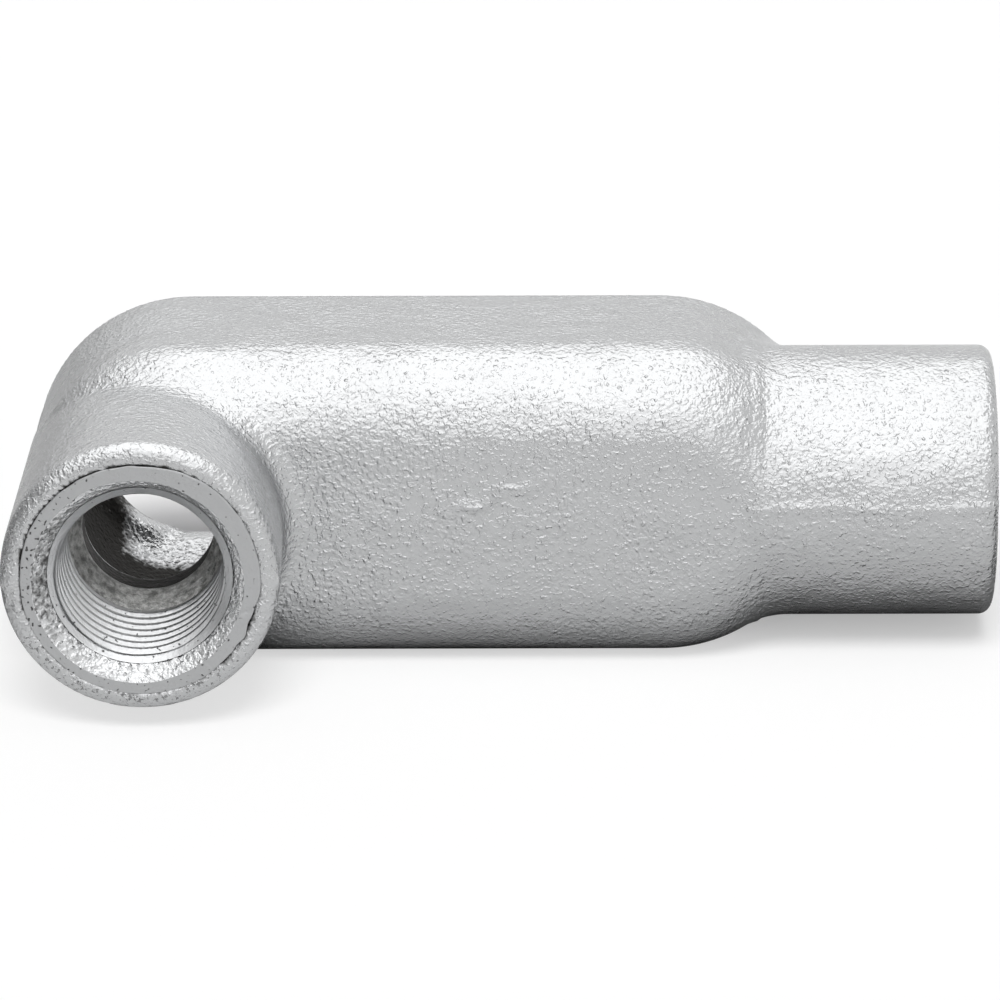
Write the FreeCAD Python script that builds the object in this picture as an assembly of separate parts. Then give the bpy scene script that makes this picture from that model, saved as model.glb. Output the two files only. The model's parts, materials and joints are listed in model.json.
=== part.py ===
"""Back-outlet elbow conduit body, one malleable-iron casting, drawn in millimetres.

The body lies on its long side wall, as it rests on a bench without its cover:
+X runs along the body to the end hub, the back hub leaves along -Y, the cover
opening faces +Y and the mould parted on the plane Z = 0, which holds both hub axes.
The design is drawn about the crossing of the two hub axes; the last step moves
the origin to the bench, under the middle of the part.
"""
import FreeCAD, Part
import math
import os

V = FreeCAD.Vector

# ---- conduit hubs (half-inch trade size) --------------------------------------
HUB_R = 15.4            # outside radius of both hubs
HUB_ROUND = 1.5         # rounding of the hub's outer edge
BACK_FACE = 34.2        # hub axes' crossing to the back hub's face
END_FACE = 95.5         # hub axes' crossing to the end hub's face
FACE_IN_R = 12.1        # inner edge of the flat face ring
MOUTH_R = 10.2         # large end of the machined lead-in chamfer
MOUTH_DEPTH = 1.15       # cast flare from the face down to the chamfer
CHAMFER = 0.55           # depth of the chamfer
THREAD_R = 9.0          # crest radius of the tapped length
THREAD_LEN = 12.7       # seven turns of fourteen to the inch
THROAT_R = 7.45         # integral bushing at its narrowest
SHOULDER_LEN = 3.0      # cast cone from the thread's end down to the bushing
SHOULDER_STEP = 0.25    # step from the thread's crests down to the cone
BUSH_ROUND = 1.2        # edge that the wires are pulled over

# ---- body ---------------------------------------------------------------------
SIDE_STEP = 2.8         # how far the body's sides stand out beyond the hubs
BODY_HALF = HUB_R + SIDE_STEP   # half width, along Z
BODY_LEFT = 14.8        # near end of the body, just inside the back hub
BODY_RIGHT = 76.1       # far end of the body, under the end hub
BACK_Y = 15.1           # depth of the back wall, all but flush with the hubs
RIM_Y = 13.3            # ground cover seat, in front of the hub axes
BACK_R = 10.1           # edge between the back wall and the side walls
WALL = 3.2              # cast wall
END_SEAT = 6.3          # flat inside the far end, where the end bushing opens
DRAFT = 1.5             # draft of the back wall, degrees, away from the parting plane

# ---- cover opening ------------------------------------------------------------
LIP = 8.1               # width of the inturned cover flange, all round
LIP_T = 2.6             # its thickness
LIP_ROOT = 12.0         # depth over which the side walls thicken up to the flange
LIP_STEP = 1.2          # undercut left behind the flange's inner edge
LIP_EDGE = 0.8          # broken edge inside the flange
SCREW_R = 1.75          # tapped hole for a cover screw
SCREW_BOSS_R = 3.2      # boss under the flange round each screw hole
SCREW_DEPTH = 5.2       # depth of the boss below the cover seat

# ---- blends -------------------------------------------------------------------
ROOT_RUN = 7.0          # taper that runs a hub out into the body
RUN_DROP = 1.2          # how far the taper sinks
SEAT_CLEAR = 0.6        # gap left beyond the seat for the cover's end
HUB_BLEND = 2.2         # concave blend round the back hub


def plan_face(y, left, right, half):
    """Slot-ended outline in a plane of constant Y, from X = left to X = right."""
    a, b = left + half, right - half
    edges = [Part.LineSegment(V(a, y, -half), V(b, y, -half)),
             Part.Arc(V(b, y, -half), V(right, y, 0), V(b, y, half)),
             Part.LineSegment(V(b, y, half), V(a, y, half)),
             Part.Arc(V(a, y, half), V(left, y, 0), V(a, y, -half))]
    return Part.Face(Part.Wire([e.toShape() for e in edges]))


def corner(arc):
    """An arc as two, half of its length each."""
    first, last = arc.FirstParameter, arc.LastParameter
    middle = (first + last) / 2
    return [Part.Arc(*[arc.value(a + (b - a) * t) for t in (0.0, 0.5, 1.0)])
            for a, b in ((first, middle), (middle, last))]


def tub_half(back, front, left, right, half, back_r):
    """Upper half mould of the body: the plan outline in depth, with the back wall drafted."""
    outline = plan_face(front, left, right, half)
    block = outline.extrude(V(0, -(front + back + 2), 0))
    rise = math.tan(math.radians(DRAFT)) * half
    section = Part.makePolygon([V(left - 5, front, 0), V(left - 5, -back, 0),
                                V(left - 5, -back + rise, half + 5), V(left - 5, front, half + 5),
                                V(left - 5, front, 0)])
    half_mould = block.common(Part.Face(section).extrude(V(right - left + 10, 0, 0)))
    rim = [e for e in half_mould.Edges
           if e.BoundBox.YMax < -back + rise + 0.6 and e.BoundBox.ZMax > 0.01]
    return half_mould.makeFillet(back_r, rim)


def tub(inset, front):
    """Both half moulds of the body, inset from its outside by a wall thickness."""
    args = (BACK_Y - inset, front, -BODY_LEFT + inset, BODY_RIGHT - inset,
            BODY_HALF - inset, BACK_R - inset)
    upper = tub_half(*args)
    lower = upper.mirror(V(0, 0, 0), V(0, 0, 1))
    return upper.fuse(lower)


def hub_outside(face, root, run):
    """Hub about +X from root to face: its root run out over a taper, its outer edge rounded."""
    q = HUB_ROUND * (1 - math.sqrt(0.5))
    drop = RUN_DROP if run else 0.0
    pts = [V(root, 0, 0), V(root, HUB_R - drop, 0), V(root + run, HUB_R, 0),
           V(face - HUB_ROUND, HUB_R, 0)]
    tip = V(face, HUB_R - HUB_ROUND, 0)
    edges = [Part.LineSegment(a, b).toShape() for a, b in zip(pts, pts[1:]) if (b - a).Length > 0]
    edges += [c.toShape() for c in corner(Part.Arc(pts[-1], V(face - q, HUB_R - q, 0), tip))]
    edges += [Part.LineSegment(tip, V(face, 0, 0)).toShape(),
              Part.LineSegment(V(face, 0, 0), pts[0]).toShape()]
    return Part.Face(Part.Wire(edges)).revolve(V(0, 0, 0), V(1, 0, 0), 360)


def hub_bore(face, inner):
    """Bore about +X: cast flare, chamfer, thread length, cast cone and wire bushing."""
    q = math.sqrt(0.5)
    x_ch = face - MOUTH_DEPTH
    x_th = x_ch - CHAMFER
    x_sh = x_th - THREAD_LEN
    x_throat = x_sh - SHOULDER_LEN
    b = BUSH_ROUND
    p = [V(x_ch, MOUTH_R, 0), V(x_th, THREAD_R, 0), V(x_sh, THREAD_R, 0),
         V(x_sh, THREAD_R - SHOULDER_STEP, 0), V(x_throat, THROAT_R, 0),
         V(inner + b, THROAT_R, 0)]
    bush_mid = V(inner + b * (1 - q), THROAT_R + b * (1 - q), 0)
    lip = V(inner, THROAT_R + b, 0)
    ends = [lip, V(inner - 1, THROAT_R + b, 0), V(inner - 1, 0, 0), V(face + 1, 0, 0),
            V(face + 1, FACE_IN_R, 0), V(face, FACE_IN_R, 0)]
    curves = [Part.LineSegment(V(face, FACE_IN_R, 0), p[0])]
    curves += [Part.LineSegment(a, b) for a, b in zip(p, p[1:])]
    curves += corner(Part.Arc(p[-1], bush_mid, lip))
    curves += [Part.LineSegment(a, b) for a, b in zip(ends, ends[1:])]
    profile = Part.Wire([c.toShape() for c in curves])
    return Part.Face(profile).revolve(V(0, 0, 0), V(1, 0, 0), 360)


def to_back(shape):
    """Turn a shape drawn about +X so that it lies about -Y."""
    turned = shape.copy()
    turned.rotate(V(0, 0, 0), V(0, 0, 1), -90)
    return turned


def shares(solid, edge, test):
    """True if one of the two faces that meet at the edge passes the test."""
    return any(test(f) for f in solid.ancestorsOfType(edge, Part.Face))


def is_back_hub(face):
    """True for the back hub's own cylinder."""
    s = face.Surface
    return isinstance(s, Part.Cylinder) and abs(s.Radius - HUB_R) < 1e-6 and abs(s.Axis.y) > 0.999


def outside():
    """Outside of the casting: the drafted body with the back hub blended and the end hub run in."""
    body = tub(0.0, RIM_Y)
    back = to_back(hub_outside(BACK_FACE, 0.0, 0.0))
    solid = body.fuse(back).removeSplitter()
    root = [e for e in solid.Edges if shares(solid, e, is_back_hub)
            and -BACK_Y - 0.1 < e.BoundBox.YMin < -BACK_Y + BACK_R * 0.5 and e.BoundBox.XMax > 1]
    print("back hub blend:", len(root), "edges")
    solid = solid.makeFillet(HUB_BLEND, root)
    runout = Part.makeCone(HUB_R, HUB_R - RUN_DROP, ROOT_RUN, V(0, 0, 0), V(0, 1, 0))
    end = hub_outside(END_FACE, BODY_RIGHT - BODY_HALF + 4, ROOT_RUN)
    step = Part.makeCylinder(BODY_HALF + SEAT_CLEAR, HUB_R,
                             V(BODY_RIGHT - BODY_HALF, RIM_Y, 0), V(0, 1, 0))
    return solid.fuse([runout, end.cut(step)]).removeSplitter()


def opening():
    """Cover opening through the inturned flange."""
    slot = plan_face(RIM_Y + 1, -BODY_LEFT + LIP, BODY_RIGHT - LIP, BODY_HALF - LIP)
    return slot.extrude(V(0, -(LIP_T + 2), 0))


def screw_xs():
    """The two cover screws stand midway across the flange at the two ends."""
    return (-BODY_LEFT + LIP / 2, BODY_RIGHT - LIP / 2)


def cavity():
    """Wiring space under the cover flange, less the flat at its far end and the screw bosses."""
    top = RIM_Y - LIP_T
    space = tub(WALL, top)
    rim = [e for e in space.Edges if e.BoundBox.YMin > top - 0.01]
    space = space.makeChamfer(LIP_ROOT, LIP - WALL - LIP_STEP, rim)
    side = 2 * BODY_HALF
    space = space.cut(Part.makeBox(END_SEAT, side, side, V(BODY_RIGHT - END_SEAT, -side / 2, -side / 2)))
    for x in screw_xs():
        boss = Part.makeCylinder(SCREW_BOSS_R, SCREW_DEPTH, V(x, RIM_Y - SCREW_DEPTH, 0), V(0, 1, 0))
        space = space.cut(boss)
    return space


def is_opening_edge(edge):
    """True for the edge where the cover opening breaks through the flange's underside."""
    b = edge.BoundBox
    if abs(b.YMin - (RIM_Y - LIP_T)) > 1e-4 or abs(b.YMax - (RIM_Y - LIP_T)) > 1e-4:
        return False
    p = edge.valueAt((edge.FirstParameter + edge.LastParameter) / 2)
    ends = min(max(p.x, -BODY_LEFT + BODY_HALF), BODY_RIGHT - BODY_HALF)
    return abs(math.hypot(p.x - ends, p.z) - (BODY_HALF - LIP)) < 0.01


def conduit_body():
    """The casting: outside, less cavity, cover opening, conduit bores and screw holes."""
    solid = outside().cut(cavity()).cut(opening())
    lip = [e for e in solid.Edges if is_opening_edge(e)]
    print("flange edge:", len(lip), "edges")
    solid = solid.makeChamfer(LIP_EDGE, lip)
    solid = solid.cut(to_back(hub_bore(BACK_FACE, BACK_Y - WALL)))
    solid = solid.cut(hub_bore(END_FACE, BODY_RIGHT - END_SEAT))
    for x in screw_xs():
        hole = Part.makeCylinder(SCREW_R, SCREW_DEPTH + 2, V(x, RIM_Y - SCREW_DEPTH - 1, 0), V(0, 1, 0))
        solid = solid.cut(hole)
    return solid.removeSplitter()


os.makedirs("parts", exist_ok=True)
casting = conduit_body()
# The origin goes to the bench, under the middle of the part's extent.
casting.translate(V((HUB_R - END_FACE) / 2, (BACK_FACE - HUB_R) / 2, BODY_HALF))
print("casting", casting.isValid(), round(casting.Volume), len(casting.Solids), len(casting.Faces))
casting.exportStep("parts/casting.step")
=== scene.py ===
# %% [markdown]
# A back-outlet elbow conduit body: one malleable-iron casting, zinc plated and aluminium lacquered.
# The frame comes first. It brings in the casting as it was drawn for manufacture, in metres, lying on
# its long side wall, and the box it fills is kept so that the dressed part can be held against it.

# %% Frame
import json
import math
import bpy
import numpy as np
from mathutils import Matrix
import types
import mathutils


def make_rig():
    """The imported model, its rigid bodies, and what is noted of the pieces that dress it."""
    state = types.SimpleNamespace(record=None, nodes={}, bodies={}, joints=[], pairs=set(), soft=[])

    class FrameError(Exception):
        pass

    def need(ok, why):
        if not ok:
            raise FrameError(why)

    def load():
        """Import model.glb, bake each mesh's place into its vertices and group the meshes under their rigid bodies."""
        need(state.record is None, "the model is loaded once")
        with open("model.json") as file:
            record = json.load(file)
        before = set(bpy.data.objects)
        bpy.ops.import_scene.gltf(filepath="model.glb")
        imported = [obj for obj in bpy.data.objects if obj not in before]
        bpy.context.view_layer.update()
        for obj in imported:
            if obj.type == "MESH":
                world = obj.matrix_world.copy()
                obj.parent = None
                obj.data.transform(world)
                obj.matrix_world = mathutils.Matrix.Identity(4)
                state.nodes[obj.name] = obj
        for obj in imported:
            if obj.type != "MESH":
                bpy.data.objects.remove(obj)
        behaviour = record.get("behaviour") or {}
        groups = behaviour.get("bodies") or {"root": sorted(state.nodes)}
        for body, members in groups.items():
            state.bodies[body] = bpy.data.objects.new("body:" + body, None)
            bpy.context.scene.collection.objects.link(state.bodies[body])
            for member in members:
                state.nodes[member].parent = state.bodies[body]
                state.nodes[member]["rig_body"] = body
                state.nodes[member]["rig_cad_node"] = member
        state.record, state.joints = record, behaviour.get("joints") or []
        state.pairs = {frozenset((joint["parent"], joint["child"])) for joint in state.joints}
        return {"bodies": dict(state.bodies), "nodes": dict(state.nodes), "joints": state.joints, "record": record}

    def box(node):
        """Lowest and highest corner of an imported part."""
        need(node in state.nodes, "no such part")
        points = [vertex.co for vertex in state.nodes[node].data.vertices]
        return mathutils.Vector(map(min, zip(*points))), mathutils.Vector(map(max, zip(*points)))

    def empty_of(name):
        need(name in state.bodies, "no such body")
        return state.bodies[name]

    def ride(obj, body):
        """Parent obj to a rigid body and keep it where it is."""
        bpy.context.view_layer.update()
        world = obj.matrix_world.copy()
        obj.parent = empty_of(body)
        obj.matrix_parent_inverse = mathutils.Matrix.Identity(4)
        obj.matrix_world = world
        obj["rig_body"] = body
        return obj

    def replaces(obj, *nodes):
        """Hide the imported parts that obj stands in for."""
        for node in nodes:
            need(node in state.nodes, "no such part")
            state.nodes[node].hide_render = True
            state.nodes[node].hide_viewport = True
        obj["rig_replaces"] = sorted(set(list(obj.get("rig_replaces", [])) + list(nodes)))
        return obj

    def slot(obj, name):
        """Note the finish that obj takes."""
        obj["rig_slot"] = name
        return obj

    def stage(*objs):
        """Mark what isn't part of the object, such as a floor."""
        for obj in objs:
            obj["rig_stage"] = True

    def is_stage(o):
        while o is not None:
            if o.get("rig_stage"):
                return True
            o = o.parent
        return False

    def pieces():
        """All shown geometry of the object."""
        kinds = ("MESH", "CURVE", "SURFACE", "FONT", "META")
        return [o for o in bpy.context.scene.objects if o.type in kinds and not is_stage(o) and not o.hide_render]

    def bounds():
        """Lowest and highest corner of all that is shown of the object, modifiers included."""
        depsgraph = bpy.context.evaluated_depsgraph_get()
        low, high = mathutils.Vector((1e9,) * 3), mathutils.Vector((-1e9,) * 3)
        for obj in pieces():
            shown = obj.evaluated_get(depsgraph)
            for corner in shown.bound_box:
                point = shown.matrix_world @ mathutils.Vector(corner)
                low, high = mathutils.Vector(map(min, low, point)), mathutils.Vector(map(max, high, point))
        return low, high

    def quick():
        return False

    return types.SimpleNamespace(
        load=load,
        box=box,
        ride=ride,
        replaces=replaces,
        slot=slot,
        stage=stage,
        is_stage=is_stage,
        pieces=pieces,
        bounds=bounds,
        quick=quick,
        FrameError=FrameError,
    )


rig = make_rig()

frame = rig.load()
cad_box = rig.bounds()
print("casting box", [round(v, 4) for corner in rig.box("casting") for v in corner])

# %% [markdown]
# The sizes are the casting's own, in millimetres, measured from the crossing of the two hub axes:
# x towards the end hub, y out of the cover opening, z up and square to both. Only the sizes that the
# whole part shares stand here. The others come with the feature that needs them.

# %% Shared sizes
HUB_R = 15.4                            # outside radius of both hubs
BACK_FACE, END_FACE = 34.2, 95.5        # from the axes' crossing to each hub's face
BODY_HALF, RIM_Y = 18.2, 13.3           # half the body's width; hub axis to the cover's rim
ORIGIN = np.array([(HUB_R - END_FACE) / 2, (BACK_FACE - HUB_R) / 2, BODY_HALF])     # centres the box


def to_row(points):
    """Points in millimetres about the axes' crossing, put into the part's frame in metres."""
    return (np.asarray(points) + ORIGIN) / 1000.0


print("crossing of the hub axes in the part's frame", to_row([0, 0, 0]))

# %% [markdown]
# The outside of a sand casting has no hard inside corners: wherever a hub grows out of the body the
# pattern maker runs a fillet of wax or putty round the join, and it fades where the two surfaces run
# together. Patches sewn edge to edge can't fade like that, so the skin is made from a field: a number
# at every point that tells how far it is from the metal. Two fields are joined with a rounded corner,
# and the skin lies where the joined field is zero.

# %% Joining two fields
def both(p, q, r):
    """Larger of p and q; within r of the corner, the length of (p + r, q + r) less r rounds it."""
    inner = np.minimum(np.maximum(p + r, q + r), 0)
    return inner + np.hypot(np.maximum(p + r, 0), np.maximum(q + r, 0)) - r


def either(p, q, r):
    """The same with metal and air exchanged, so that the inner corner is filled."""
    return -both(-p, -q, r)


leg = 2.0 * (1 - math.sqrt(0.5))
print("a 2 mm fillet fills a corner to", round(leg, 2), "mm from both walls; field there",
      round(abs(float(either(leg, leg, 2.0))), 6))

# %% [markdown]
# The body is a box with two full round ends, so its outline in plan is a slot. A pattern has to be
# drawn out of the sand, so the back wall leans away from the parting plane on both sides and the end
# next to the back hub stands in a little. The back edge is generously round, as wires never reach it
# and a sharp one would chill and crack. Carrying one outline along y gives all of it at once.

# %% Body
SLOT_A, SLOT_B = 3.4, 57.9              # centres of the outline's two round ends
BACK_Y, BACK_R = 15.1, 10.1             # hub axis to the back wall; rounding of the back edge
DRAFT = math.tan(math.radians(1.5))     # the pattern's draft away from the parting plane
NEAR_DRAW, RIM_EDGE = 0.5, 0.45         # draw of the end next to the back hub; rounding of the rim


def slot(x, z, half, left=SLOT_A):
    """Distance in plan from a slot: length of (x past its centre line's end, z), less its half width."""
    return np.hypot(x - np.clip(x, left, SLOT_B), z) - half


def box_body(x, y, z, inset, front, left=SLOT_A):
    """Slot carried from the drafted back wall, y = -BACK_Y + DRAFT |z|, to y = front, all inset alike."""
    back = -(y + BACK_Y - inset) + DRAFT * np.abs(z)
    return both(both(slot(x, z, BODY_HALF - inset, left), back, BACK_R - inset), y - front, RIM_EDGE)


def plain_body(x, y, z):
    """The body alone, solid."""
    return box_body(x, y, z, 0.0, RIM_Y, SLOT_A + NEAR_DRAW)


print("body", [round(v, 1) for v in (SLOT_B - SLOT_A - NEAR_DRAW + 2 * BODY_HALF, BACK_Y + RIM_Y,
                                     2 * BODY_HALF)], "mm")

# %% [markdown]
# Each hub is a stub of heavy pipe, wide enough to leave metal round a tapped thread. It could be a
# plain cylinder, but the real one has draft, a rounded face and a short taper where it runs out into
# the body, and the end hub is cut clear of the flat that the cover sits on. The fillets between hub
# and body fade by how far the two surfaces turn away from each other.

# %% Hubs and fading fillets
HUB_ROUND = 1.5                         # rounding of a hub's outer edge
HUB_DRAFT, DRAFT_FROM, DRAFT_RUN = 0.018, 3, 31     # back hub: lean per mm, where it starts, how long
RUN, BACK_DROP, END_DROP = 7.0, 0.7, 1.2            # length and drops of the tapers into the body
END_START, SEAT_CLEAR = SLOT_B + 4, 0.6             # end hub's root; its clearance round the cover
ROOT_EDGE, SEAT_EDGE = 0.3, 0.4                     # roundings at the hubs' roots and beside the seat


def back_hub(x, y, z):
    """Cylinder about y: radius falls by the draft from the face on, and by the taper past y = 0."""
    draft = HUB_DRAFT * np.clip(y + BACK_FACE - DRAFT_FROM, 0, DRAFT_RUN)
    side = np.hypot(x, z) - (HUB_R - draft - np.clip(y, 0, RUN) * BACK_DROP / RUN)
    return both(both(side, -BACK_FACE - y, HUB_ROUND), y - RUN, ROOT_EDGE)


def end_hub(x, y, z):
    """Cylinder about x with the same face; radius grows by END_DROP over RUN, clear of the cover."""
    drop = (1 - np.clip((x - END_START) / RUN, 0, 1)) * END_DROP
    side = np.hypot(y, z) - (HUB_R - drop)
    hub = both(both(side, x - END_FACE, HUB_ROUND), END_START - x, ROOT_EDGE)
    seat = np.maximum(np.hypot(x - SLOT_B, z) - BODY_HALF - SEAT_CLEAR, RIM_Y - y)
    return both(hub, -seat, SEAT_EDGE)


def fading(p, q, field_p, field_q, at, r):
    """Fillet radius: r times 1.5 (1 - cosine of the angle between the two slopes), from 0.02 r to r."""
    step = 0.05
    dot, size_p, size_q = 0.0, 1e-9, 1e-9
    for axis in range(3):
        moved = list(at)
        moved[axis] = at[axis] + step
        gp, gq = field_p(*moved) - p, field_q(*moved) - q
        dot, size_p, size_q = dot + gp * gq, size_p + gp * gp, size_q + gq * gq
    return r * np.clip(1.5 * (1 - dot / np.sqrt(size_p * size_q)), 0.02, 1)


print("the draft takes", round(HUB_DRAFT * DRAFT_RUN, 2), "mm off the back hub's radius by its root")

# %% [markdown]
# A casting keeps traces of how it was made. The two halves of the mould leave a faint seam along the
# end hub, metal that met itself across the back froze as a low wavering fold, and two small lugs
# stand at the parting line by the back hub's face. Seam and fold are low ridges, so each is a bell
# curve taken off the distance. They belong in the skin rather than in the drawing, because no two
# castings have them in the same place.

# %% Casting marks and the whole outside
SEAM_HIGH, SEAM_HALF, SEAM_Z, SEAM_SWAY, SEAM_LENGTH = 0.2, 0.45, 1.5, 0.25, 28
FOLD_HIGH, FOLD_HALF, FOLD_X, FOLD_REACH = 0.28, 0.42, 39, 6
FOLD_Z, FOLD_CLIMB, FOLD_SWAY, STEEP = 1.4, 3.0, 0.3, 1.4   # the fold climbs in a short S at FOLD_X
FOLD_Y = -10                            # and lies on the back alone, below this
LUG_X, LUG_Z, LUG_IN, LUG_R, LUG_FILLET = 14.5, -0.4, 0.7, 0.95, 0.4
BACK_FILLET, END_FILLET = 2.6, 4.5


def marks(x, y, z):
    """Height of seam and fold: bell curves in z about two wavy lines, on the end hub and on the back."""
    seam = SEAM_HIGH * np.exp(-((z - SEAM_Z + SEAM_SWAY * np.sin(x * 0.31)) / SEAM_HALF) ** 2)
    line = FOLD_Z + FOLD_CLIMB / (1 + np.exp(-(x - FOLD_X) / STEEP)) + FOLD_SWAY * np.sin(x * 1.3)
    fold = FOLD_HIGH * np.exp(-((z - line) / FOLD_HALF) ** 2 - ((x - FOLD_X) / FOLD_REACH) ** 4)
    return seam * (x > END_FACE - SEAM_LENGTH) + fold * (y < FOLD_Y)


def outside(x, y, z):
    """Body, hubs, marks and lugs joined, and held inside the box that the drawn casting fills."""
    at = (x, y, z)
    body, hub, end = plain_body(*at), back_hub(*at), end_hub(*at)
    joined = either(body, hub, fading(body, hub, plain_body, back_hub, at, BACK_FILLET))
    joined = np.minimum(either(joined, end, fading(body, end, plain_body, end_hub, at, END_FILLET)), joined)
    joined = joined - marks(*at)
    for side in (-1, 1):
        lug = np.sqrt((x - side * LUG_X) ** 2 + (y + BACK_FACE - LUG_IN) ** 2 + (z - LUG_Z) ** 2) - LUG_R
        joined = either(joined, lug, LUG_FILLET)
    limit = np.maximum(np.maximum(y - HUB_R, -HUB_R - x), np.maximum(-BACK_FACE - y, x - END_FACE))
    return np.maximum(joined, limit)


print("outside's field at the back face, the end face and a side wall, in mm",
      [round(float(outside(*at)), 3)
       for at in ((0.0, -BACK_FACE, 12.0), (END_FACE, 0.0, 12.0), (30.0, 0.0, BODY_HALF))])

# %% [markdown]
# The inside is cast round a sand core: the wiring space, the slot that the cover closes, and a
# throat through each hub whose mouth is rounded so that wires are not cut. The parts of each hub that
# a tool cuts later (face, chamfer, thread) are left out here as a stepped pocket, and laid in as
# their own surfaces, because a cutter leaves sharp edges that this field would soften.

# %% Holes through a hub
RING_OUT, RING_ROOM, RING_DEEP = 13.5, 0.5, 1.5     # ground ring; its pocket is narrower, and so deep
POCKET_R = 10.95                        # room for the thread's roots
THREAD_FROM, THREAD_TO = 1.7, 14.4      # depth of the thread's two ends below the hub's face
CONE_FROM, CONE_R, CONE_LEN = THREAD_TO + 0.1, 8.75, 3.0
THROAT_R, BEHIND = 7.45, 0.45           # wire passage; how far the skin stays behind the shoulder


def throat(radial, depth, length):
    """Round hole from depth CONE_FROM to length, its radius falling evenly over the cone to THROAT_R."""
    wide, run = CONE_R + BEHIND, CONE_LEN + 0.5
    cone = radial - (wide - np.clip(depth - CONE_FROM, 0, run) * (wide - THROAT_R) / run)
    return np.maximum(np.maximum(cone, CONE_FROM - depth), depth - length)


def pocket(radial, depth):
    """Two round steps: a wide shallow one behind the ring and a narrow deep one behind the thread."""
    ring = np.maximum(radial - (RING_OUT - RING_ROOM), depth - RING_DEEP)
    return np.minimum(ring, np.maximum(radial - POCKET_R, depth - CONE_FROM))


print("throat", 2 * THROAT_R, "mm wide behind a thread of", round(THREAD_TO - THREAD_FROM, 1), "mm")

# %% [markdown]
# The wiring space follows the body at an even wall, then narrows towards the flange, which the cover
# needs for its seat. Behind the flange the core leaves a small undercut near the back hub. The screw
# bosses stand in the space at both ends. It is the same kind of field as the outside, so the wall
# between the two can be rounded over at the cover's rim like any other corner.

# %% Wiring space and the casting's field
WALL, LIP, LIP_T = 3.2, 8.1, 2.6        # wall; how far the flange reaches in; its thickness
LIP_ROOT, LIP_STEP = 12.0, 1.2          # side walls thicken over this depth; undercut behind the flange
UNDERCUT_X = (-1, 3)                    # the undercut fades out between these two places
LEAN = 0.955                            # cosine of the side walls' lean, keeps the field a distance
CORE_R, END_SEAT_X = 3.0, 69.8          # core's corners; flat inside the far end, round the bushing
SCREW_X = (-10.75, 72.05)               # the cover's two screws
SCREW_BOSS_R, SCREW_R, SCREW_DEPTH = 3.2, 1.75, 5.2
MOUTH_R, BACK_THROAT, END_THROAT = 1.2, 30, 34      # rounding of a throat's inner mouth; lengths
COVER_FROM, CORE_EDGE, RIM_ROUND = 6, 0.8, 0.35     # cover slot's start in y; small roundings
TIP = 0.6                               # the drill goes this far past the boss


def wiring_space(x, y, z):
    """Body inset by the wall, less the flange's taper, the flat at the end and the screw bosses."""
    top = RIM_Y - LIP_T
    step, lift = np.interp(x, UNDERCUT_X, [LIP_STEP, 0.3]), np.interp(x, UNDERCUT_X, [0, 5])
    rise = np.clip((y - top + LIP_ROOT) / LIP_ROOT, 0, 1) * (LIP - WALL - step)
    space = box_body(x, y, z, WALL, top + lift)
    space = both(space, (slot(x, z, BODY_HALF - WALL) + rise) * LEAN, CORE_R)
    space = both(space, x - END_SEAT_X, 1.0)
    for centre in SCREW_X:
        boss = np.maximum(np.hypot(x - centre, z) - SCREW_BOSS_R, RIM_Y - SCREW_DEPTH - y)
        space = both(space, -boss, CORE_EDGE)
    return space


def hollow(x, y, z):
    """Wiring space, cover slot, both throats with their pockets, and the two screw holes."""
    cover = np.maximum(slot(x, z, BODY_HALF - LIP), COVER_FROM - y)
    space = either(wiring_space(x, y, z), cover, CORE_EDGE)
    for radial, depth, length in ((np.hypot(x, z), y + BACK_FACE, BACK_THROAT),
                                  (np.hypot(y, z), END_FACE - x, END_THROAT)):
        space = either(space, throat(radial, depth, length), MOUTH_R)
        space = np.minimum(space, pocket(radial, depth))
    for centre in SCREW_X:
        hole = np.maximum(np.hypot(x - centre, z) - SCREW_R, RIM_Y - SCREW_DEPTH - TIP - y)
        space = np.minimum(space, hole)
    return space


def casting_field(x, y, z):
    """Distance from the metal: inside the outside and outside the hollow."""
    return both(outside(x, y, z), -hollow(x, y, z), RIM_ROUND)


print("wall at the middle of the back", round(float(hollow(30.0, -BACK_Y, 0.0)), 2), "mm")

# %% [markdown]
# The zero surface is found on a regular grid. Every cell that the surface crosses gets one point, at
# the mean of the crossings on its twelve edges. Every grid edge that is crossed gets one four-sided
# face between its four cells. This gives even quads with no slivers, which bumps and edges sit on
# well, where the older way of cutting each cell into triangles leaves thin ones.

# %% One point for each crossed cell
CORNERS = [(i, j, k) for i in (0, 1) for j in (0, 1) for k in (0, 1)]


def crossed_cells(sign):
    """Cells whose eight corners don't all lie on the same side."""
    def at_corner(c):
        return sign[tuple(slice(v, n - 1 + v) for v, n in zip(c, sign.shape))]
    count = sum(at_corner(c).astype(np.int8) for c in CORNERS)
    return (count > 0) & (count < 8)


def cell_points(value, cell):
    """Mean of the crossings on each cell's edges; a crossing lies at va / (va - vb) along its edge."""
    total, crossings = np.zeros((len(cell), 3)), np.zeros(len(cell))
    for a in CORNERS:
        for axis in np.flatnonzero(np.array(a) == 0):
            b = tuple(v + (i == axis) for i, v in enumerate(a))
            va, vb = (value[tuple((cell + c).T)] for c in (a, b))
            cut = (va < 0) != (vb < 0)
            t = np.where(cut, va / np.where(cut, va - vb, 1), 0)
            point = np.array(a, float) + t[:, None] * (np.arange(3) == axis)
            total += np.where(cut[:, None], point, 0)
            crossings += cut
    return cell + total / crossings[:, None]


ball = np.hypot(np.hypot(*np.ogrid[-2:3, -2:3])[..., None], np.arange(-2, 3)) - 1.5
found = np.argwhere(crossed_cells(ball < 0))
print("a ball of radius 1.5 crosses", len(found), "cells; mean radius of their points",
      round(float(np.linalg.norm(cell_points(ball, found) - 2, axis=1).mean()), 2))

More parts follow.
